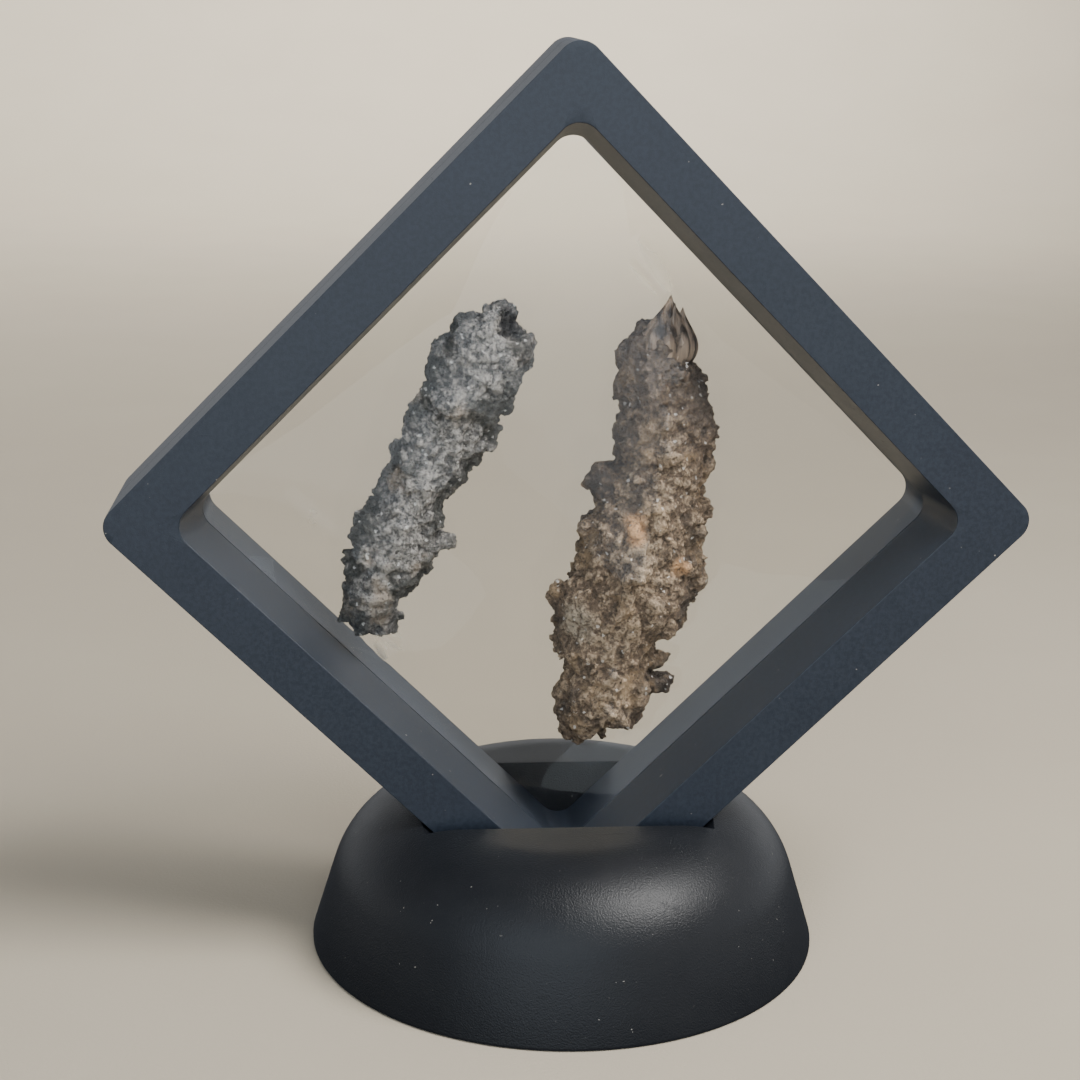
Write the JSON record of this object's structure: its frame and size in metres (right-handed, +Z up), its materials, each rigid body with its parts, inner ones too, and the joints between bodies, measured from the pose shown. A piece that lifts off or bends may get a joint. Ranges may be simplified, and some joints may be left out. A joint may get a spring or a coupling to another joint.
{
  "type": "fulgurites in a display frame",
  "caption": "Natural lightning glass tubes held between clear elastic films in a square frame that stands on its corner in a round stand.",
  "frame": {"origin": "on the table, under the middle of the round stand", "axes": "+Z up, -Y to the front, where the frame's opening faces; +X to the right"},
  "size_m": [0.1248, 0.0734, 0.1268],
  "materials": {
    "frame_plastic": "satin blue-black moulded plastic",
    "stand_plastic": "fine-grained satin black moulded plastic",
    "clear_film": "clear elastic film, glossy",
    "grey_fulgurite": "rough, fused grey sand",
    "brown_fulgurite": "rough, fused brown sand with glassy lips"
  },
  "bodies": {
    "root": {"stand": "stand_plastic", "front_frame_half": "frame_plastic", "back_frame_half": "frame_plastic", "front_film": "clear_film", "back_film": "clear_film", "grey_fulgurite": "grey_fulgurite", "brown_fulgurite": "brown_fulgurite"}
  },
  "joints": []
}
